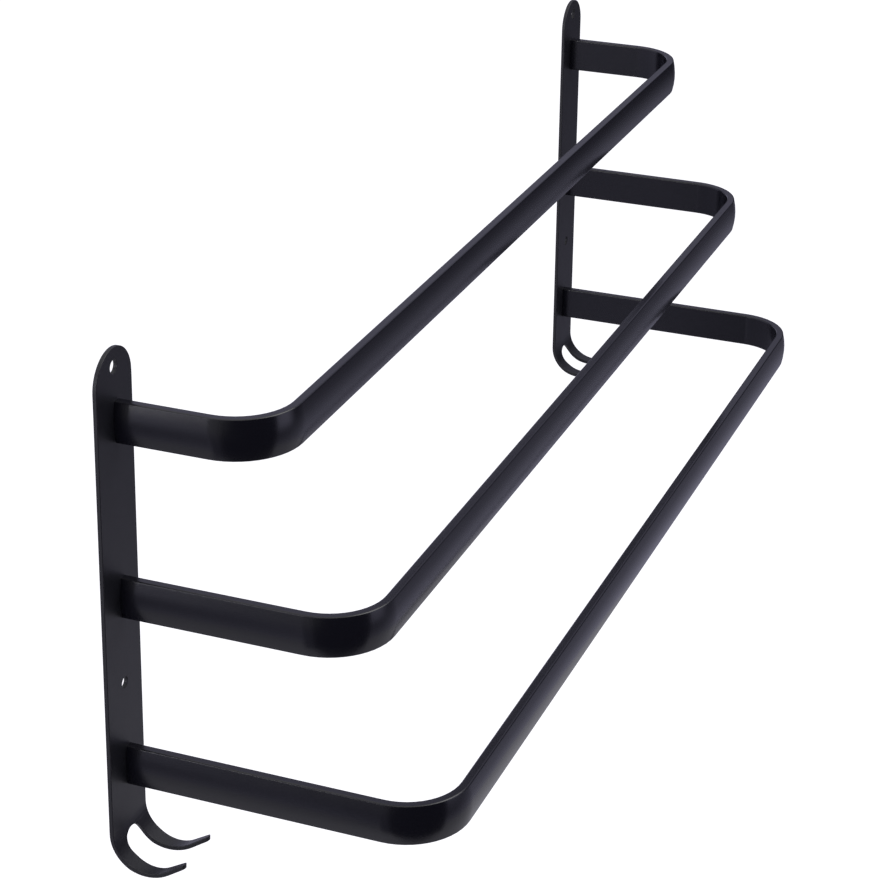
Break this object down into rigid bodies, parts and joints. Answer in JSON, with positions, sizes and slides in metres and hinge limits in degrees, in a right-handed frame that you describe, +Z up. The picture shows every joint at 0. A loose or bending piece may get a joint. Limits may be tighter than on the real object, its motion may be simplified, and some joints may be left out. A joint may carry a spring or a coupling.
{
  "type": "towel holder",
  "caption": "Wall-mounted towel holder: flat-bar rails bent into wide U shapes, each reaching further out than the one above, on wall strips whose feet curl into forked coat hooks.",
  "frame": {"origin": "on the wall, midway between the two upper fixing holes", "axes": "+Z up along the wall, +Y into the wall, whose face is at Y = 0, and X along the rails"},
  "size_m": [0.631, 0.153, 0.2435],
  "materials": {
    "black_coated_steel": "satin black powder coat with a fine grain",
    "plated_steel": "bright zinc plating"
  },
  "bodies": {
    "root": {"left_wall_strip": "black_coated_steel", "right_wall_strip": "black_coated_steel", "top_rail": "black_coated_steel", "middle_rail": "black_coated_steel", "bottom_rail": "black_coated_steel", "top_rail_left_upper_screw": "plated_steel", "top_rail_left_lower_screw": "plated_steel", "top_rail_right_upper_screw": "plated_steel", "top_rail_right_lower_screw": "plated_steel", "middle_rail_left_upper_screw": "plated_steel", "middle_rail_left_lower_screw": "plated_steel", "middle_rail_right_upper_screw": "plated_steel", "middle_rail_right_lower_screw": "plated_steel", "bottom_rail_left_upper_screw": "plated_steel", "bottom_rail_left_lower_screw": "plated_steel", "bottom_rail_right_upper_screw": "plated_steel", "bottom_rail_right_lower_screw": "plated_steel"}
  },
  "joints": []
}
